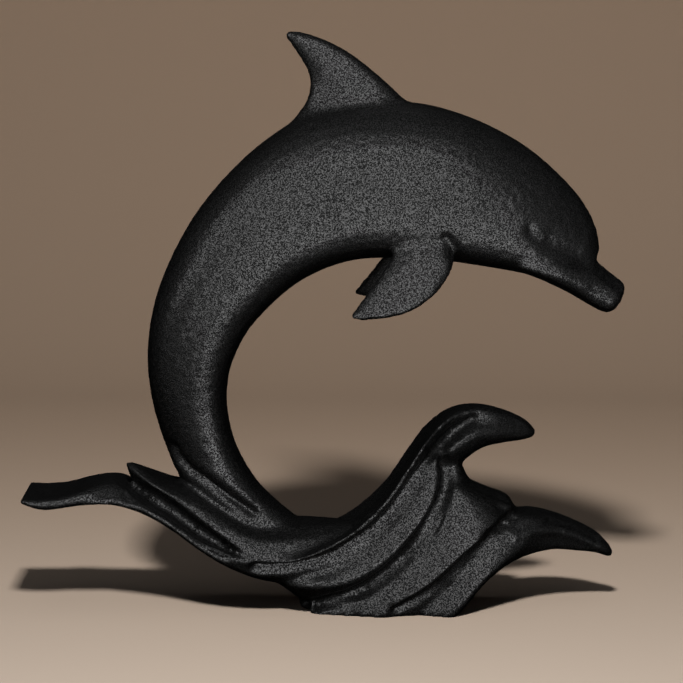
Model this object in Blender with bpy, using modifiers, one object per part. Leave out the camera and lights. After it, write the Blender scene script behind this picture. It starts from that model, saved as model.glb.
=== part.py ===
"""Dolphin figurine: a dolphin that leaps out of a curling wave, made in one piece and standing on a flat foot.

Lengths are in millimetres and become metres where a point is made. The figurine faces +X, its middle
plane is Y = 0, the foot's flat face lies on Z = 0 and the origin is at the foot's centre.
"""

import math

import bmesh
import bpy
from mathutils import Vector

MM = 0.001

# Widest and deepest places, measured from the middle plane
BODY_HALF_WIDTH = 21.5
BEAK_HALF_WIDTH = 7.0
DORSAL_FIN_HALF_THICKNESS = 3.0
FLIPPER_HALF_THICKNESS = 2.4
FLIPPER_ROOT_REACH = 13.0
FLIPPER_TIP_REACH = 26.0
WAVE_HALF_DEPTH = 20.0
COLLAR_HALF_DEPTH = 15.0
STRAND_HALF_DEPTH = 18.5
GROOVE_DEPTH = 5.0
TROUGH_DEPTH = 5.0

# Both crests lean back from the middle plane, more and more between these two places along X
CREST_LEAN = 10.0
LEAN_START = 24.0
LEAN_END = 70.0

# The foot is an oval whose upper part is buried in the wave
FOOT_LENGTH = 58.0
FOOT_DEPTH = 28.0
FOOT_HEIGHT = 6.0
FOOT_FLARE = 1.0
FLOOR_CUTTER_SIZE = 400.0

# How finely the pieces are fused, how long the skin is smoothed, how many triangles are kept, and how
# close together two points count as one
FUSE_SIZE = 0.75
SMOOTH_STEPS = 8
KEPT_TRIANGLES = 11700
SPECK_SIZE = 0.1
RING_POINTS = 32
STEPS_PER_SPAN = 4

# Body, from the tail hidden in the wave to the forehead. Each row holds the back's X and Z, the belly's
# X and Z, the share of BODY_HALF_WIDTH, the squareness of the back and of the belly side (2 is an
# ellipse), and how far up from the belly the body is widest.
BODY_ROWS = (
    (-46.0, 22.0, -24.0, 27.0, 0.46, 2.0, 2.2, 0.50),
    (-57.0, 31.0, -30.5, 32.0, 0.49, 1.8, 2.4, 0.50),
    (-66.0, 39.5, -38.0, 38.2, 0.52, 1.7, 2.6, 0.48),
    (-71.8, 47.8, -44.5, 45.0, 0.55, 1.6, 2.8, 0.44),
    (-76.2, 59.0, -51.0, 56.5, 0.59, 1.7, 2.8, 0.42),
    (-79.6, 71.0, -54.1, 69.0, 0.66, 2.1, 2.8, 0.42),
    (-81.3, 84.0, -53.9, 80.0, 0.75, 2.5, 2.8, 0.44),
    (-80.9, 96.5, -51.4, 89.0, 0.83, 2.7, 2.8, 0.46),
    (-78.2, 110.0, -46.3, 98.5, 0.90, 2.7, 2.7, 0.48),
    (-73.0, 123.2, -39.0, 106.8, 0.95, 2.6, 2.6, 0.48),
    (-65.4, 137.0, -30.0, 114.6, 0.98, 2.5, 2.6, 0.48),
    (-55.0, 150.3, -20.0, 120.0, 1.00, 2.4, 2.6, 0.46),
    (-41.5, 163.0, -10.0, 123.0, 1.00, 2.3, 2.6, 0.45),
    (-26.0, 172.5, 0.0, 123.8, 1.00, 2.2, 2.6, 0.43),
    (-8.0, 176.6, 10.5, 123.8, 0.99, 2.1, 2.6, 0.42),
    (10.0, 176.8, 21.0, 122.9, 0.96, 2.0, 2.6, 0.40),
    (24.0, 173.7, 31.0, 121.4, 0.91, 2.0, 2.6, 0.37),
    (37.0, 168.5, 40.5, 119.9, 0.83, 1.9, 2.6, 0.34),
    (49.5, 161.2, 49.0, 118.2, 0.73, 1.8, 2.6, 0.32),
    (60.0, 152.2, 56.5, 116.2, 0.60, 1.8, 2.5, 0.31),
    (68.0, 143.1, 62.5, 115.0, 0.45, 1.8, 2.4, 0.32),
    (72.6, 134.0, 67.5, 116.5, 0.31, 1.9, 2.2, 0.36),
    (73.9, 126.6, 71.5, 120.0, 0.14, 2.0, 2.0, 0.50),
)

# Beak and cheeks: the top's X and Z, the underside's X and Z, and the share of BEAK_HALF_WIDTH.
BEAK_ROWS = (
    (47.0, 128.5, 46.0, 119.5, 2.05),
    (54.0, 128.0, 53.0, 116.8, 2.06),
    (61.5, 126.6, 58.5, 114.2, 1.92),
    (68.0, 124.6, 64.0, 111.3, 1.60),
    (73.2, 122.0, 68.8, 108.3, 1.28),
    (77.2, 118.8, 72.8, 106.0, 1.08),
    (80.4, 116.4, 76.2, 104.6, 0.97),
    (82.2, 115.0, 78.8, 105.4, 0.85),
    (83.0, 113.6, 81.2, 108.2, 0.50),
)

# Dorsal fin, root to tip: the leading edge's X and Z, the trailing edge's X and Z, and the share of
# DORSAL_FIN_HALF_THICKNESS.
DORSAL_FIN_ROWS = (
    (17.0, 167.0, -38.0, 157.0, 4.40),
    (11.5, 174.4, -33.6, 167.4, 3.00),
    (6.5, 178.2, -29.6, 172.6, 2.00),
    (1.5, 183.0, -26.6, 177.0, 1.45),
    (-4.0, 187.8, -25.4, 182.6, 1.20),
    (-10.0, 192.5, -26.1, 187.2, 1.05),
    (-16.5, 196.4, -28.1, 190.8, 0.94),
    (-23.0, 199.2, -30.2, 194.2, 0.84),
    (-29.5, 200.9, -32.4, 197.2, 0.66),
    (-34.0, 200.9, -33.9, 199.3, 0.40),
)

# Flipper, root to tip: the leading edge's X and Z, the trailing edge's X and Z, the share of
# FLIPPER_HALF_THICKNESS, and the share of the way from the root's reach to the tip's.
FLIPPER_ROWS = (
    (22.5, 132.0, 4.0, 133.0, 1.80, 0.00),
    (24.2, 125.6, 2.6, 126.0, 1.45, 0.32),
    (22.6, 120.2, -1.2, 120.6, 1.20, 0.52),
    (17.6, 113.7, -5.0, 115.4, 1.06, 0.68),
    (10.0, 108.5, -8.0, 111.6, 0.96, 0.81),
    (2.0, 106.3, -9.8, 109.2, 0.85, 0.90),
    (-5.0, 105.7, -10.9, 107.8, 0.70, 0.96),
    (-9.6, 105.8, -11.3, 107.1, 0.45, 1.00),
)

# Arm, trough and upper crest of the wave, left to right. Each row holds X, the share of
# WAVE_HALF_DEPTH, the rim's Z, the share of TROUGH_DEPTH, the outer lower edge's Z, the share of the
# depth at that edge, the Z of the middle of the underside, and the share of GROOVE_DEPTH by which the
# flank is hollowed between rim and lower edge.
TROUGH_ROWS = (
    (-125.4, 0.78, 40.7, 0.00, 39.4, 1.00, 39.4, 0.00),
    (-117.5, 0.77, 40.6, 0.10, 37.0, 1.00, 36.4, 0.00),
    (-110.0, 0.74, 41.6, 0.05, 37.8, 1.02, 37.2, 0.00),
    (-103.0, 0.70, 43.6, 0.00, 38.9, 1.08, 38.0, 0.00),
    (-96.0, 0.52, 45.4, -0.10, 39.4, 1.48, 38.0, 0.00),
    (-90.5, 0.56, 44.8, 0.00, 38.9, 1.40, 37.2, 0.00),
    (-85.0, 0.78, 41.2, 0.10, 37.6, 1.06, 35.6, 0.00),
    (-78.0, 0.86, 37.2, 0.12, 34.6, 1.00, 32.0, 0.00),
    (-71.0, 0.90, 33.1, 0.14, 30.4, 1.00, 27.5, 0.00),
    (-64.0, 0.94, 28.2, 0.16, 25.2, 1.00, 22.5, 0.00),
    (-57.0, 0.97, 24.9, 0.20, 20.6, 0.98, 18.0, 0.00),
    (-50.0, 1.00, 22.3, 0.25, 17.2, 0.92, 14.0, 0.00),
    (-42.5, 1.00, 20.6, 0.30, 14.6, 0.87, 11.0, 0.00),
    (-35.0, 1.00, 20.7, 0.30, 14.8, 0.84, 9.4, 0.00),
    (-27.5, 1.00, 22.4, 0.20, 16.0, 0.80, 10.0, 0.00),
    (-20.0, 1.00, 25.7, 0.20, 18.6, 0.80, 12.0, 0.00),
    (-13.0, 1.00, 29.6, 0.40, 22.4, 0.80, 15.0, 0.00),
    (-6.0, 1.00, 35.0, 0.60, 27.6, 0.80, 20.0, 0.05),
    (1.0, 1.00, 42.4, 0.75, 34.3, 0.80, 26.0, 0.10),
    (8.0, 0.98, 52.9, 0.80, 43.0, 0.80, 34.0, 0.12),
    (14.0, 0.89, 61.8, 0.55, 51.0, 0.80, 42.0, 0.40),
    (20.0, 0.62, 67.8, 0.10, 55.6, 0.98, 48.0, 0.95),
    (26.4, 0.39, 70.9, -0.10, 60.4, 1.30, 51.0, 0.85),
    (33.3, 0.27, 71.4, -0.10, 63.6, 1.56, 56.0, 0.45),
    (40.2, 0.21, 69.7, -0.10, 63.2, 1.55, 57.7, 0.00),
    (47.1, 0.16, 66.7, -0.10, 61.8, 1.40, 58.3, 0.00),
    (51.3, 0.12, 63.6, -0.08, 61.0, 1.30, 59.0, 0.00),
    (53.0, 0.06, 61.4, -0.04, 60.6, 1.00, 59.8, 0.00),
)

# Core of the wave and its lower crest, left to right: X, the Z of the top and of the underside, and the
# share of STRAND_HALF_DEPTH.
CORE_ROWS = (
    (-43.0, 18.5, 14.6, 0.50),
    (-36.0, 20.0, 9.0, 0.64),
    (-28.5, 21.5, 3.6, 0.70),
    (-20.0, 25.0, -1.0, 0.72),
    (-11.0, 30.0, -3.0, 0.72),
    (-2.0, 37.0, -3.0, 0.70),
    (7.0, 47.0, -3.0, 0.68),
    (14.0, 56.0, -3.0, 0.64),
    (20.0, 58.5, -3.0, 0.60),
    (25.5, 54.5, -1.5, 0.56),
    (29.5, 46.2, 3.3, 0.56),
    (34.0, 43.1, 8.5, 0.56),
    (40.0, 41.2, 13.8, 0.54),
    (44.0, 38.6, 16.4, 0.48),
    (46.2, 34.4, 17.2, 0.44),
    (51.0, 33.4, 18.6, 0.38),
    (58.0, 32.4, 19.4, 0.30),
    (66.0, 29.6, 18.9, 0.22),
    (74.0, 25.7, 17.6, 0.15),
    (79.0, 20.9, 15.9, 0.11),
    (80.8, 18.0, 16.2, 0.06),
)

# Strands of water on the wave's flank, each from its start at the foot up to its end. Each row holds the
# X and Z of the groove above the strand, of its ridge and of the groove below it, and the share of
# STRAND_HALF_DEPTH.
UPPER_STRAND_ROWS = (
    (-43.0, 17.2, -39.5, 13.4, -38.5, 11.8, 0.66),
    (-35.0, 16.0, -30.0, 11.0, -28.5, 6.4, 0.86),
    (-26.0, 15.6, -20.5, 11.4, -18.0, 6.0, 0.97),
    (-16.0, 18.8, -11.0, 13.2, -8.5, 8.8, 1.00),
    (-7.0, 24.8, -1.6, 18.3, 0.8, 14.2, 1.00),
    (0.5, 32.0, 6.2, 24.8, 9.0, 22.0, 1.00),
    (6.0, 39.6, 12.6, 32.0, 15.2, 30.0, 0.98),
    (10.6, 47.0, 17.0, 40.2, 19.4, 38.4, 0.90),
    (14.4, 53.0, 19.2, 48.4, 21.3, 46.5, 0.76),
    (16.6, 55.6, 20.0, 53.6, 21.6, 52.4, 0.60),
    (18.6, 57.8, 19.6, 56.8, 20.4, 56.0, 0.42),
)
MIDDLE_STRAND_ROWS = (
    (-26.0, 3.0, -24.0, -4.0, -22.0, -7.0, 0.70),
    (-14.0, 6.8, -6.0, -3.0, -3.0, -7.0, 0.84),
    (-3.0, 11.2, 4.5, 3.4, 8.0, -2.0, 0.90),
    (6.0, 18.0, 13.6, 10.2, 17.5, 6.6, 0.94),
    (12.9, 25.6, 21.4, 15.8, 24.6, 12.8, 0.94),
    (18.0, 33.4, 28.2, 22.2, 30.6, 19.8, 0.92),
    (21.4, 41.4, 33.8, 27.2, 35.8, 25.4, 0.87),
    (23.6, 46.0, 37.8, 30.8, 39.2, 29.4, 0.80),
    (27.0, 45.6, 41.8, 34.4, 42.8, 32.8, 0.68),
    (31.5, 43.4, 45.0, 37.2, 45.6, 35.4, 0.50),
)
LOWER_STRAND_ROWS = (
    (9.0, 1.5, 12.0, -6.0, 12.5, -9.0, 0.76),
    (16.4, 6.9, 21.0, -2.6, 21.0, -6.0, 0.82),
    (23.3, 13.0, 28.4, 4.6, 28.2, 2.2, 0.86),
    (29.4, 19.9, 35.2, 12.4, 35.0, 10.4, 0.84),
    (34.6, 25.8, 41.6, 17.8, 41.7, 15.6, 0.77),
    (40.2, 31.2, 47.4, 22.6, 48.0, 18.4, 0.68),
    (46.5, 33.4, 52.4, 26.4, 53.8, 19.6, 0.60),
    (52.0, 33.4, 57.6, 28.0, 59.6, 20.2, 0.52),
    (59.0, 31.6, 62.6, 27.2, 65.0, 19.4, 0.45),
    (66.0, 29.0, 68.2, 25.2, 70.6, 18.6, 0.36),
    (73.0, 25.4, 74.4, 22.0, 76.0, 17.8, 0.25),
    (78.0, 21.0, 78.8, 18.8, 79.4, 16.8, 0.14),
)

# Collar of water about the tail, from its spike to where it fades in the trough: X, the Z of the top, of
# the outward ridge and of the root, and the share of COLLAR_HALF_DEPTH.
COLLAR_ROWS = (
    (-89.6, 51.9, 51.0, 50.0, 0.08),
    (-85.6, 50.3, 48.4, 41.0, 0.38),
    (-80.0, 47.4, 45.6, 36.0, 0.72),
    (-75.0, 45.4, 42.8, 33.0, 0.88),
    (-70.0, 44.4, 39.8, 29.5, 1.00),
    (-64.5, 42.8, 35.8, 25.0, 1.08),
    (-59.0, 39.8, 31.4, 22.0, 1.14),
    (-53.0, 36.0, 26.8, 19.0, 1.20),
    (-46.0, 32.4, 22.8, 16.0, 1.26),
    (-38.0, 31.0, 21.4, 14.0, 1.26),
    (-29.0, 31.2, 22.6, 14.0, 1.14),
    (-20.0, 31.0, 25.2, 14.0, 0.86),
    (-11.0, 30.6, 27.0, 16.0, 0.55),
)


def remove_everything():
    for scene_object in list(bpy.data.objects):
        bpy.data.objects.remove(scene_object)


def catmull_rom(before, start, end, after, t):
    """One number on the curve between start and end."""
    bend = 2 * before - 5 * start + 4 * end - after
    twist = 3 * start - before - 3 * end + after
    return start + 0.5 * t * (end - before + t * (bend + t * twist))


def smooth_rows(rows):
    """The given rows with others between them, on curves that run through every given one."""
    padded = (rows[0], *rows, rows[-1])
    found = []
    for four in zip(padded, padded[1:], padded[2:], padded[3:]):
        for step in range(STEPS_PER_SPAN):
            found.append([catmull_rom(*values, step / STEPS_PER_SPAN) for values in zip(*four)])
    return [*found, list(rows[-1])]


def oval_ring(top, bottom, half_width, top_power=2.0, bottom_power=2.0, widest=0.5):
    """A closed ring that stands square to the middle plane, between two points near it."""
    centre = bottom.lerp(top, widest)
    ring = []
    for place in range(RING_POINTS):
        angle = math.tau * place / RING_POINTS
        rise, side = math.cos(angle), math.sin(angle)
        reach, power = (top, top_power) if rise > 0 else (bottom, bottom_power)
        along = abs(rise) ** (2 / power)
        across = math.copysign(abs(side) ** (2 / power), side)
        ring.append(centre + (reach - centre) * along + Vector((0, half_width * across, 0)))
    return ring


def loft(mesh, rings):
    """A closed skin over the rings, added to the mesh."""
    loops = [[mesh.verts.new(point * MM) for point in ring] for ring in rings]
    faces = [mesh.faces.new(loops[0]), mesh.faces.new(loops[-1])]
    for lower, upper in zip(loops, loops[1:]):
        for place in range(len(lower)):
            following = (place + 1) % len(lower)
            faces.append(mesh.faces.new((lower[place], lower[following], upper[following], upper[place])))
    bmesh.ops.recalc_face_normals(mesh, faces=faces)


def add_body(mesh):
    rings = []
    for back_x, back_z, belly_x, belly_z, share, back, belly, widest in smooth_rows(BODY_ROWS):
        top, bottom = Vector((back_x, 0, back_z)), Vector((belly_x, 0, belly_z))
        rings.append(oval_ring(top, bottom, BODY_HALF_WIDTH * share, back, belly, widest))
    loft(mesh, rings)


def add_beak(mesh):
    rings = []
    for top_x, top_z, bottom_x, bottom_z, share in smooth_rows(BEAK_ROWS):
        top, bottom = Vector((top_x, 0, top_z)), Vector((bottom_x, 0, bottom_z))
        rings.append(oval_ring(top, bottom, BEAK_HALF_WIDTH * share, 2.2, 2.4, 0.46))
    loft(mesh, rings)


def add_dorsal_fin(mesh):
    rings = []
    for lead_x, lead_z, trail_x, trail_z, share in smooth_rows(DORSAL_FIN_ROWS):
        lead, trail = Vector((lead_x, 0, lead_z)), Vector((trail_x, 0, trail_z))
        rings.append(oval_ring(lead, trail, DORSAL_FIN_HALF_THICKNESS * share, 2.4, 2.2, 0.55))
    loft(mesh, rings)


def add_flipper(mesh, side):
    rings = []
    for lead_x, lead_z, trail_x, trail_z, share, way in smooth_rows(FLIPPER_ROWS):
        reach = FLIPPER_ROOT_REACH + (FLIPPER_TIP_REACH - FLIPPER_ROOT_REACH) * way
        lead, trail = Vector((lead_x, side * reach, lead_z)), Vector((trail_x, side * reach, trail_z))
        rings.append(oval_ring(lead, trail, FLIPPER_HALF_THICKNESS * share, 2.4, 2.2, 0.55))
    loft(mesh, rings)


def lean(x):
    """How far the wave's middle lies behind the middle plane at this X."""
    way = min(max((x - LEAN_START) / (LEAN_END - LEAN_START), 0.0), 1.0)
    return CREST_LEAN * way * way * (3.0 - 2.0 * way)


def mirrored_ring(x, half):
    """A closed ring at this X from half a section, its points given as (depth, Z), top to bottom."""
    near = [Vector((x, lean(x) - depth, z)) for depth, z in half]
    far = [Vector((x, lean(x) + depth, z)) for depth, z in half[-2:0:-1]]
    return near + far


def trough_ring(x, share, rim, dip, edge, edge_share, under, hollow):
    """The section of the hollow trough, between its two rims, with the rims' undercut outer sides."""
    depth = WAVE_HALF_DEPTH * share
    floor = rim - TROUGH_DEPTH * dip
    low = depth * edge_share
    flank = 0.5 * (depth + low) - GROOVE_DEPTH * hollow
    return mirrored_ring(x, [
        (0.0, floor),
        (0.36 * depth, floor + 0.08 * (rim - floor)),
        (0.66 * depth, floor + 0.42 * (rim - floor)),
        (0.87 * depth, rim - 0.14 * (rim - floor)),
        (depth, rim - 0.1),
        (flank, 0.5 * (rim + edge)),
        (low, edge + 0.1),
        (0.9 * low, 0.7 * edge + 0.3 * under),
        (0.6 * low, 0.25 * edge + 0.75 * under),
        (0.0, under),
    ])


def add_trough(mesh):
    loft(mesh, [trough_ring(*row) for row in smooth_rows(TROUGH_ROWS)])


def add_core(mesh):
    rings = []
    for x, top_z, bottom_z, share in smooth_rows(CORE_ROWS):
        top, bottom = Vector((x, lean(x), top_z)), Vector((x, lean(x), bottom_z))
        rings.append(oval_ring(top, bottom, STRAND_HALF_DEPTH * share, 2.6, 2.6, 0.5))
    loft(mesh, rings)


def add_strand(mesh, rows, side):
    """A strand that swells from its upper groove to its ridge, then is undercut to the lower groove."""
    rings = []
    for groove_x, groove_z, ridge_x, ridge_z, foot_x, foot_z, share in smooth_rows(rows):
        ridge_y = STRAND_HALF_DEPTH * share
        groove_y = ridge_y - GROOVE_DEPTH * share
        groove = Vector((groove_x, lean(groove_x) + side * groove_y, groove_z))
        ridge = Vector((ridge_x, lean(ridge_x) + side * ridge_y, ridge_z))
        foot = Vector((foot_x, lean(foot_x) + side * groove_y, foot_z))
        swell = groove.lerp(ridge, 0.5) + Vector((0, 0.1 * side * GROOVE_DEPTH, 0))
        brow = groove.lerp(ridge, 0.85) + Vector((0, 0.06 * side * GROOVE_DEPTH, 0))
        inner_foot = foot - Vector((0, 0.7 * side * groove_y, 0))
        inner_groove = groove - Vector((0, 0.7 * side * groove_y, 0))
        rings.append([groove, swell, brow, ridge, foot, inner_foot, inner_groove])
    loft(mesh, rings)


def add_collar(mesh):
    rings = []
    for x, top, ridge, root, share in smooth_rows(COLLAR_ROWS):
        depth = COLLAR_HALF_DEPTH * share
        rings.append(mirrored_ring(x, [
            (0.0, top),
            (0.5 * depth, top - 0.08 * (top - ridge)),
            (0.82 * depth, top - 0.40 * (top - ridge)),
            (depth, ridge),
            (0.84 * depth, 0.75 * ridge + 0.25 * root),
            (0.60 * depth, 0.35 * ridge + 0.65 * root),
            (0.0, root),
        ]))
    loft(mesh, rings)


def add_foot(mesh):
    """An oval that widens upwards, and reaches below the floor so that it can be cut flat."""
    rings = []
    for height in (-FOOT_FLARE, 0.0, 0.5 * FOOT_HEIGHT, FOOT_HEIGHT):
        growth = FOOT_FLARE * height / FOOT_HEIGHT
        ring = []
        for place in range(RING_POINTS):
            angle = math.tau * place / RING_POINTS
            across = (0.5 * FOOT_LENGTH + growth) * math.cos(angle)
            along = (0.5 * FOOT_DEPTH + growth) * math.sin(angle)
            ring.append(Vector((across, along, height)))
        rings.append(ring)
    loft(mesh, rings)


def new_collection(name):
    collection = bpy.data.collections.new(name)
    bpy.context.scene.collection.children.link(collection)
    return collection


def black_plastic():
    material = bpy.data.materials.new("matt_black_plastic")
    material.use_nodes = True
    shader = material.node_tree.nodes["Principled BSDF"]
    shader.inputs["Base Color"].default_value = (0.018, 0.018, 0.019, 1.0)
    shader.inputs["Roughness"].default_value = 0.6
    shader.inputs["Metallic"].default_value = 0.0
    return material


def floor_cutter(collection):
    """A block whose top is the floor, which cuts the foot flat."""
    size = FLOOR_CUTTER_SIZE * MM
    bpy.ops.mesh.primitive_cube_add(size=size, location=(0, 0, -0.5 * size))
    cutter = bpy.context.object
    cutter.name = "floor_cutter"
    cutter.hide_render = True
    cutter.display_type = "WIRE"
    for owner in cutter.users_collection:
        owner.objects.unlink(cutter)
    collection.objects.link(cutter)
    return cutter


def triangle_count(scene_object):
    """How many triangles the object has after the modifiers it holds so far."""
    evaluated = scene_object.evaluated_get(bpy.context.evaluated_depsgraph_get())
    count = sum(len(polygon.vertices) - 2 for polygon in evaluated.to_mesh().polygons)
    evaluated.to_mesh_clear()
    return count


def fuse(figurine, cutter):
    """Fuses the overlapping pieces into one skin, smooths and thins it, and cuts the foot flat."""
    remesh = figurine.modifiers.new("fuse", "REMESH")
    remesh.mode = "VOXEL"
    remesh.voxel_size = FUSE_SIZE * MM
    smooth = figurine.modifiers.new("smooth", "SMOOTH")
    smooth.factor = 0.5
    smooth.iterations = SMOOTH_STEPS
    share = min(1.0, KEPT_TRIANGLES / triangle_count(figurine))
    thin = figurine.modifiers.new("thin", "DECIMATE")
    thin.ratio = share
    weld = figurine.modifiers.new("close_specks", "WELD")
    weld.merge_threshold = SPECK_SIZE * MM
    cut = figurine.modifiers.new("flat_foot", "BOOLEAN")
    cut.operation = "DIFFERENCE"
    cut.object = cutter


def build():
    remove_everything()
    mesh = bmesh.new()
    add_body(mesh)
    add_beak(mesh)
    add_dorsal_fin(mesh)
    add_trough(mesh)
    add_core(mesh)
    add_collar(mesh)
    add_foot(mesh)
    for side in (-1, 1):
        add_flipper(mesh, side)
        for rows in (UPPER_STRAND_ROWS, MIDDLE_STRAND_ROWS, LOWER_STRAND_ROWS):
            add_strand(mesh, rows, side)
    skin = bpy.data.meshes.new("dolphin_figurine")
    mesh.to_mesh(skin)
    mesh.free()
    skin.materials.append(black_plastic())
    figurine = bpy.data.objects.new("dolphin_figurine", skin)
    new_collection("dolphin_figurine").objects.link(figurine)
    fuse(figurine, floor_cutter(new_collection("cutters")))


build()
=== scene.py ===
"""Looks of a small black figurine: a dolphin that leaps in an arch out of a curling wave.

Lengths are in millimetres and become metres where they reach Blender. The figurine faces +X, the
camera looks along +Y, and the foot stands on Z = 0.
"""

import math

import bmesh
import bpy
import numpy as np
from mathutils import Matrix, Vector, noise


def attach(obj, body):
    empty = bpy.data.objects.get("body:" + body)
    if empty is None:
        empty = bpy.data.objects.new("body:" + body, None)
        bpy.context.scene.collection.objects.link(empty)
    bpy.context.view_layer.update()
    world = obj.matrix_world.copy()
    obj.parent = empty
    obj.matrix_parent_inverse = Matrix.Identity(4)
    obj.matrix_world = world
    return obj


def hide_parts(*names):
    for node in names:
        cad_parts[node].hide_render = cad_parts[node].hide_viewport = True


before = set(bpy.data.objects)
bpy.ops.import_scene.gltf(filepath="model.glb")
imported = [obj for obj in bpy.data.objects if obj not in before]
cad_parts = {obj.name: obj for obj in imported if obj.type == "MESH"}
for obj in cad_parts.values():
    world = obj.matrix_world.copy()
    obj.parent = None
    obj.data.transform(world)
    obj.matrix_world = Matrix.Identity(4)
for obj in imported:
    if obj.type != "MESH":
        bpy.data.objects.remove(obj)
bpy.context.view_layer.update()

# Camera
# The photograph was taken with a long lens from 1.1 m away, a little above the figurine and a hair to
# its right, looking down at the middle of the arch.
MM = 0.001
LOOK_AT = Vector((-14.5, 0.0, 94.0))
CAMERA_DISTANCE = 1100.0
CAMERA_RISE = math.radians(10.0)
CAMERA_TURN = math.radians(1.5)
SENSOR_WIDTH = 36.0
PICTURE_WIDTH_PIXELS = 683
PIXELS_PER_MM = 2.90
NEAREST_SEEN = 50.0
FARTHEST_SEEN = 20000.0

towards_camera = Vector((
    math.sin(CAMERA_TURN) * math.cos(CAMERA_RISE),
    -math.cos(CAMERA_TURN) * math.cos(CAMERA_RISE),
    math.sin(CAMERA_RISE),
))
lens = bpy.data.cameras.new("camera")
lens.sensor_width = SENSOR_WIDTH
lens.lens = SENSOR_WIDTH * PIXELS_PER_MM * CAMERA_DISTANCE / PICTURE_WIDTH_PIXELS
lens.clip_start = NEAREST_SEEN * MM
lens.clip_end = FARTHEST_SEEN * MM
camera = bpy.data.objects.new("camera", lens)
camera.location = (LOOK_AT + towards_camera * CAMERA_DISTANCE) * MM
camera.rotation_euler = (-towards_camera).to_track_quat("-Z", "Y").to_euler()
bpy.context.scene.collection.objects.link(camera)
bpy.context.scene.camera = camera
bpy.context.scene.view_settings.view_transform = "Standard"

# Figurine
# Dolphin, wave and foot are one hollow print in black plastic, laid down in thin layers. The nozzle
# trembled on purpose along the walls, so they have a coarse sandy grain, and flat tops stay smoother.
MERGE_DISTANCE = 0.01
SKIN_CELL = 0.92
SKIN_SMOOTHING_FACTOR = 0.5
SKIN_SMOOTHING_ROUNDS = 4


def copied_skin(node_name, name):
    """A finer skin over a merged copy of the part's mesh."""
    mesh = bmesh.new()
    mesh.from_mesh(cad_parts[node_name].data)
    bmesh.ops.remove_doubles(mesh, verts=mesh.verts, dist=MERGE_DISTANCE * MM)
    data = bpy.data.meshes.new(name)
    mesh.to_mesh(data)
    mesh.free()
    skin = bpy.data.objects.new(name, data)
    bpy.context.scene.collection.objects.link(skin)
    remesh = skin.modifiers.new("even_cells", "REMESH")
    remesh.mode = "VOXEL"
    remesh.voxel_size = SKIN_CELL * MM
    smooth = skin.modifiers.new("smooth", "SMOOTH")
    smooth.factor = SKIN_SMOOTHING_FACTOR
    smooth.iterations = SKIN_SMOOTHING_ROUNDS
    bpy.context.view_layer.update()
    evaluated = skin.evaluated_get(bpy.context.evaluated_depsgraph_get())
    fine_data = bpy.data.meshes.new_from_object(evaluated)
    skin.modifiers.clear()
    skin.data = fine_data
    bpy.data.meshes.remove(data)
    fine_data.name = name
    return skin


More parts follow.
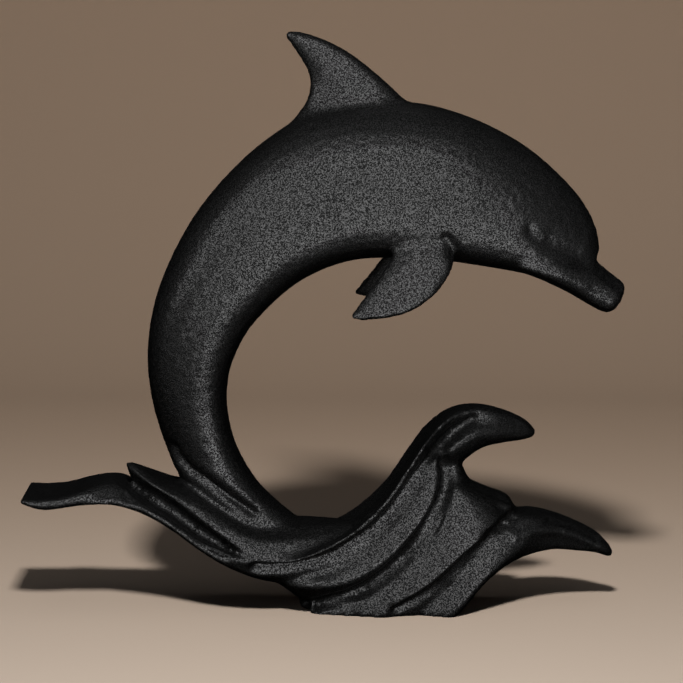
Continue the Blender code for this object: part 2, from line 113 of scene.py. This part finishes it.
# Grooves (below 0) and ridges (above 0) on both flanks: how far they stand out at most, how wide they
# are on their line's left and on its right, and the line as (X, Z) points seen from the side.
FLANK_LINES = {
    "eye": (-1.0, 1.5, 1.5, ((49.7, 135.4), (50.7, 133.6))),
    "fold_from_eye_to_beak": (-0.8, 1.8, 2.0, (
        (50.0, 134.3), (52.1, 132.2), (54.8, 131.1), (58.3, 129.5), (62.4, 127.9), (67.0, 126.2),
        (70.6, 124.4))),
    "hollow_of_the_fold": (-1.3, 4.0, 3.2, (
        (56.6, 130.0), (59.0, 128.8), (63.5, 126.8), (68.0, 124.0))),
    "brow": (0.12, 4.0, 4.0, ((46.6, 143.1), (55.1, 138.1), (62.0, 132.7), (67.3, 128.9))),
    "mouth": (-0.35, 0.8, 0.8, ((81.3, 111.6), (76.0, 112.3), (70.8, 114.3))),
    "top_of_the_beak": (-1.0, 3.0, 3.0, ((75.0, 120.5), (81.4, 115.0))),
    "root_of_the_flipper": (-1.2, 1.6, 1.6, ((21.4, 132.7), (23.4, 129.8), (24.6, 126.3))),
    "crease_of_the_tail": (-2.4, 1.9, 1.4, (
        (-73.1, 57.6), (-70.7, 53.5), (-67.1, 50.0), (-62.1, 47.3), (-44.6, 35.5))),
    "collar_of_water": (-1.8, 2.6, 2.4, (
        (-87.2, 43.4), (-79.6, 41.4), (-73.3, 37.7), (-62.9, 29.6), (-53.7, 23.4))),
    "under_the_rim": (-3.2, 1.4, 2.1, (
        (-43.5, 18.4), (-35.0, 18.0), (-29.2, 18.6), (-23.0, 19.9), (-16.1, 22.3), (-10.3, 25.9),
        (-4.1, 30.0), (1.7, 35.6), (6.8, 42.3), (11.2, 48.4), (15.0, 54.1), (18.4, 58.7), (21.0, 61.2))),
    "into_the_upper_crest": (-3.2, 1.5, 1.7, ((18.4, 58.7), (21.0, 61.2), (24.4, 64.0))),
    "end_in_the_upper_crest": (-2.0, 1.3, 1.4, ((22.2, 62.3), (26.6, 65.4), (31.0, 68.0))),
    "behind_the_first_strand": (-3.0, 1.8, 2.2, (
        (-28.8, 1.3), (-20.8, 4.3), (-12.8, 6.9), (-5.9, 10.2), (1.0, 15.4), (6.9, 21.2), (12.0, 28.2),
        (16.5, 34.3), (19.9, 40.1), (21.6, 45.0), (22.2, 49.6), (20.8, 55.8), (19.8, 58.9))),
    "short_crease": (-1.0, 0.9, 0.9, ((23.6, 42.5), (21.6, 38.4), (19.9, 33.9), (17.2, 29.4))),
    "before_the_lower_crest": (-2.4, 1.5, 1.7, (
        (4.5, 2.4), (13.1, 6.9), (19.0, 11.2), (24.1, 16.3), (28.9, 21.5), (33.7, 25.2), (37.8, 29.3),
        (42.4, 31.8))),
    "ridge_beside_it": (0.7, 1.3, 1.3, (
        (4.5, 5.3), (11.4, 9.5), (16.5, 13.1), (22.4, 18.4), (28.5, 23.5), (33.7, 27.7))),
    "blunt_end_of_the_swell": (-1.8, 3.6, 3.6, ((41.7, 38.8), (44.5, 36.7), (44.2, 34.0))),
    "hollow_of_the_lower_crest": (-1.3, 1.6, 1.6, (
        (58.4, 31.8), (62.0, 30.9), (66.2, 29.2), (70.8, 26.9), (74.6, 23.9))),
    "ridge_of_the_lower_crest": (0.7, 1.5, 1.5, (
        (45.9, 26.6), (53.2, 28.7), (62.1, 27.0), (72.8, 22.5), (78.2, 18.4))),
}
# The sideways share of a normal where a flank starts and where it is a full one, and the upright share
# where a flat top starts to turn into a wall and where it is a full wall.
FLANK_TURN = (0.15, 0.60)
WALL_TURN = (0.92, 0.57)
# The walls' unevenness, and how high above the floor it and the grooves reach their full depth.
GRAIN_SIZE = 1.3
GRAIN_HEIGHT = 0.16
FOOT_EDGE = 1.5
# Added to each distance, so that a point right on a line doesn't divide by zero.
SMALLEST_DISTANCE = 1e-6


def read_vectors(items, name):
    values = np.empty(3 * len(items))
    items.foreach_get(name, values)
    return values.reshape(-1, 3)


def ramp(values, start, end):
    """0 up to start, 1 from end on, and straight between them."""
    return np.clip((values - start) / (end - start), 0.0, 1.0)


def nearness(line, left, right, places):
    """1 on a line of (X, Z) points, fading over the widths on its left and right."""
    nearest = np.full(len(places), np.inf)
    for start, end in zip(line, line[1:]):
        span = np.subtract(end, start)
        offset = places - start
        along = np.clip(offset @ span / (span @ span), 0.0, 1.0)
        distance = np.linalg.norm(offset - along[:, None] * span, axis=1) + SMALLEST_DISTANCE
        side = (offset[:, 1] * span[0] - offset[:, 0] * span[1]) / (np.linalg.norm(span) * distance)
        width = 0.5 * (left + right) + 0.5 * (left - right) * side
        nearest = np.minimum(nearest, distance / width)
    return np.exp(-nearest ** 2)


def shape_flanks(mesh):
    """Presses the grooves into the flanks, raises the ridges and roughens the walls."""
    places = read_vectors(mesh.vertices, "co") / MM
    normals = read_vectors(mesh.vertices, "normal")
    from_the_side = places[:, [0, 2]]
    pressed, raised = np.zeros(len(places)), np.zeros(len(places))
    for height, left, right, line in FLANK_LINES.values():
        lift = height * nearness(line, left, right, from_the_side)
        pressed, raised = np.minimum(pressed, lift), np.maximum(raised, lift)
    flank = ramp(np.abs(normals[:, 1]), *FLANK_TURN)
    wall = ramp(np.abs(normals[:, 2]), *WALL_TURN)
    grain = np.array([noise.noise(Vector(place) / GRAIN_SIZE) for place in places])
    move = (pressed + raised) * flank + GRAIN_HEIGHT * grain * wall
    move *= ramp(places[:, 2], 0.0, FOOT_EDGE)
    places += normals * move[:, None]
    mesh.vertices.foreach_set("co", (places * MM).ravel())
    mesh.update()
    attribute = mesh.attributes.new("wall", "FLOAT", "POINT")
    attribute.data.foreach_set("value", wall.astype(np.float32))


class Socket:
    """An output of a material's nodes, so that shader maths reads as Python."""

    def __init__(self, tree, socket=None):
        self.tree = tree
        self.socket = socket

    def plug(self, node, sockets):
        """Sets or links the inputs of a node."""
        for key, value in sockets.items():
            if isinstance(value, Socket):
                self.tree.links.new(value.socket, node.inputs[key])
            else:
                node.inputs[key].default_value = value

    def node(self, kind, settings, sockets, output=0):
        """An output of a new node of this kind."""
        made = self.tree.nodes.new(kind)
        for key, value in settings.items():
            setattr(made, key, value)
        self.plug(made, sockets)
        return Socket(self.tree, made.outputs[output])

    def maths(self, operation, first, second):
        return self.node("ShaderNodeMath", {"operation": operation}, {0: first, 1: second})

    def __add__(self, other):
        return self.maths("ADD", self, other)

    def __rsub__(self, other):
        return self.maths("SUBTRACT", other, self)

    def __mul__(self, other):
        return self.maths("MULTIPLY", self, other)

    __radd__ = __add__
    __rmul__ = __mul__

    def between(self, low, high):
        """0 below low, 1 above high, and smooth between them."""
        settings = {"interpolation_type": "SMOOTHSTEP"}
        return self.node("ShaderNodeMapRange", settings, {"Value": self, "From Min": low, "From Max": high})

    def mixed(self, dark, light):
        """A colour between two, with this output as the factor."""
        factor, first, second, result = 0, 6, 7, 2
        sockets = {factor: self, first: dark, second: light}
        return self.node("ShaderNodeMix", {"data_type": "RGBA"}, sockets, result)


def new_material(name):
    """A material, the place on the object to start its maths from, and its shader."""
    material = bpy.data.materials.new(name)
    material.use_nodes = True
    place = Socket(material.node_tree).node("ShaderNodeTexCoord", {}, {}, "Object")
    return material, place, material.node_tree.nodes["Principled BSDF"]


def speckle(place, size, detail, roughness):
    sockets = {"Vector": place, "Scale": 1.0 / (size * MM), "Detail": detail, "Roughness": roughness}
    return place.node("ShaderNodeTexNoise", {}, sockets)


# The sandy grain: the size, detail and roughness of its coarse and of its fine specks, how much the
# coarse ones count, how deep it is, how much of it a flat top has, and which of it are peaks.
COARSE_SPECKS = (0.44, 1.0, 0.5)
FINE_SPECKS = (0.25, 2.0, 0.6)
COARSE_SHARE = 0.6
SPECK_DEPTH = 0.5
SPECKS_ON_TOPS = 0.3
PEAKS = (0.465, 0.58)
# The plastic is black; between the peaks its colour is darker still, painted shade in the grain's pits, and
# the peaks have the little sheen that it shows.
PAINTED_PIT_SHADE_COLOUR = (0.001, 0.001, 0.001, 1.0)
PEAK_COLOUR = (0.007, 0.007, 0.007, 1.0)
VALLEY_ROUGHNESS = 0.4
PEAK_SMOOTHNESS = 0.05
SPECULAR_LEVEL = 0.12
SHEEN_ON_TOPS = 0.15
SHEEN_ROUGHNESS = 0.3


def black_plastic():
    material, place, shader = new_material("matt_black_plastic")
    wall = place.node("ShaderNodeAttribute", {"attribute_name": "wall"}, {}, "Fac")
    coarse, fine = speckle(place, *COARSE_SPECKS), speckle(place, *FINE_SPECKS)
    grain = COARSE_SHARE * coarse + (1.0 - COARSE_SHARE) * fine
    height = grain * (SPECKS_ON_TOPS + (1.0 - SPECKS_ON_TOPS) * wall)
    peaks = grain.between(*PEAKS)
    bump = {"Strength": 1.0, "Distance": SPECK_DEPTH * MM, "Height": height}
    place.plug(shader, {
        "Normal": place.node("ShaderNodeBump", {}, bump),
        # Base colour: darker between the peaks, painted shade in the pits of the grain.
        "Base Color": peaks.mixed(PAINTED_PIT_SHADE_COLOUR, PEAK_COLOUR),
        "Roughness": VALLEY_ROUGHNESS - PEAK_SMOOTHNESS * peaks,
        "Coat Weight": (SHEEN_ON_TOPS + (1.0 - SHEEN_ON_TOPS) * wall) * peaks,
        "Coat Roughness": SHEEN_ROUGHNESS,
        "Specular IOR Level": SPECULAR_LEVEL,
    })
    return material


skin = copied_skin("dolphin_figurine", "dolphin_skin")
shape_flanks(skin.data)
skin.data.materials.clear()
skin.data.materials.append(black_plastic())
skin.data.shade_smooth()
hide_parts("dolphin_figurine")
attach(skin, "root")

# Floor and backdrop
# One sheet of warm grey paper lies under the figurine and curves up behind it, only as high as the
# camera sees, so that it hides little from behind. Further from the lamp its colour is painted browner and
# a little darker: painted shade, the warm tint of the dimmer light there.
PAPER_HALF_WIDTH = 1500.0
PAPER_FRONT = -1400.0
PAPER_BEND_START = 380.0
PAPER_BEND_RADIUS = 300.0
PAPER_BEND_ANGLE = math.radians(68.0)
PAPER_BEND_STEPS = 24
PAPER_NEAR = (0.46, 0.375, 0.305, 1.0)
PAPER_FAR_PAINTED_SHADE_TINT = (0.46, 0.33, 0.235, 1.0)
PAPER_FADE = (-200.0, 400.0)
PAPER_ROUGHNESS = 0.9
PAPER_SPECULAR_LEVEL = 0.1


def warm_paper():
    material, place, shader = new_material("warm_grey_paper")
    depth = place.node("ShaderNodeSeparateXYZ", {}, {"Vector": place}, "Y")
    near, far = PAPER_FADE
    place.plug(shader, {
        # Browner and a little darker further back: painted shade of the dimmer light there.
        "Base Color": depth.between(near * MM, far * MM).mixed(PAPER_NEAR, PAPER_FAR_PAINTED_SHADE_TINT),
        "Roughness": PAPER_ROUGHNESS,
        "Specular IOR Level": PAPER_SPECULAR_LEVEL,
    })
    return material


def paper_sheet():
    mesh = bmesh.new()
    outline = [(PAPER_FRONT, 0.0)]
    for step in range(PAPER_BEND_STEPS + 1):
        angle = PAPER_BEND_ANGLE * step / PAPER_BEND_STEPS
        outline.append((
            PAPER_BEND_START + PAPER_BEND_RADIUS * math.sin(angle),
            PAPER_BEND_RADIUS * (1.0 - math.cos(angle)),
        ))
    corners = [mesh.verts.new(Vector((-PAPER_HALF_WIDTH, y, z)) * MM) for y, z in outline]
    edges = [mesh.edges.new(pair) for pair in zip(corners, corners[1:])]
    swept = bmesh.ops.extrude_edge_only(mesh, edges=edges)
    moved = [item for item in swept["geom"] if isinstance(item, bmesh.types.BMVert)]
    bmesh.ops.translate(mesh, verts=moved, vec=(2.0 * PAPER_HALF_WIDTH * MM, 0.0, 0.0))
    bmesh.ops.recalc_face_normals(mesh, faces=mesh.faces)
    data = bpy.data.meshes.new("paper")
    mesh.to_mesh(data)
    mesh.free()
    data.shade_smooth()
    data.materials.append(warm_paper())
    sheet = bpy.data.objects.new("paper", data)
    sheet.visible_glossy = False
    bpy.context.scene.collection.objects.link(sheet)
    return sheet


paper_sheet()

# Studio light
# A small lamp high in front throws the shadow back over the paper, and a faint panel fills it. Broad soft
# panels before, above and left of the figurine and a pale board at its foot give the plastic its grey.
SEEN_BEYOND_THE_PAPER = (0.19, 0.135, 0.095, 1.0)


def lamp(name, place, aim, size, radiance, on_paper=False):
    """A flat lamp that faces aim. It lights the paper, or else it shows as a sheen on the plastic."""
    data = bpy.data.lights.new(name, "AREA")
    data.shape = "RECTANGLE"
    data.size, data.size_y = size[0] * MM, size[1] * MM
    data.energy = radiance * math.pi * data.size * data.size_y
    light = bpy.data.objects.new(name, data)
    light.location = Vector(place) * MM
    light.rotation_euler = (Vector(aim) * MM - light.location).to_track_quat("-Z", "Y").to_euler()
    light.visible_camera = False
    light.visible_diffuse = on_paper
    light.visible_glossy = not on_paper
    bpy.context.scene.collection.objects.link(light)


lamp("high_lamp", place=(-10.0, -540.0, 635.0), aim=(0.0, -300.0, 0.0), size=(80.0, 80.0),
     radiance=400.0, on_paper=True)
lamp("fill_panel", place=(0.0, -300.0, 1500.0), aim=(0.0, -300.0, 0.0), size=(1500.0, 1500.0),
     radiance=0.3, on_paper=True)
lamp("front_panel", place=(150.0, -1150.0, 600.0), aim=(150.0, 0.0, 600.0), size=(1200.0, 1800.0),
     radiance=3.1)
lamp("top_panel", place=(-150.0, -50.0, 1500.0), aim=(-150.0, -50.0, 0.0), size=(800.0, 1100.0),
     radiance=4.2)
lamp("floor_board", place=(80.0, -260.0, 2.0), aim=(80.0, -260.0, 100.0), size=(260.0, 260.0),
     radiance=4.0)
lamp("left_panel", place=(-850.0, -850.0, 600.0), aim=(0.0, 0.0, 100.0), size=(1000.0, 1000.0),
     radiance=2.6)
world = bpy.data.worlds.new("studio")
bpy.context.scene.world = world
world.use_nodes = True
studio = Socket(world.node_tree)
seen_by_camera = studio.node("ShaderNodeLightPath", {}, {}, "Is Camera Ray")
studio.plug(world.node_tree.nodes["Background"], {
    "Color": SEEN_BEYOND_THE_PAPER,
    "Strength": seen_by_camera,
})
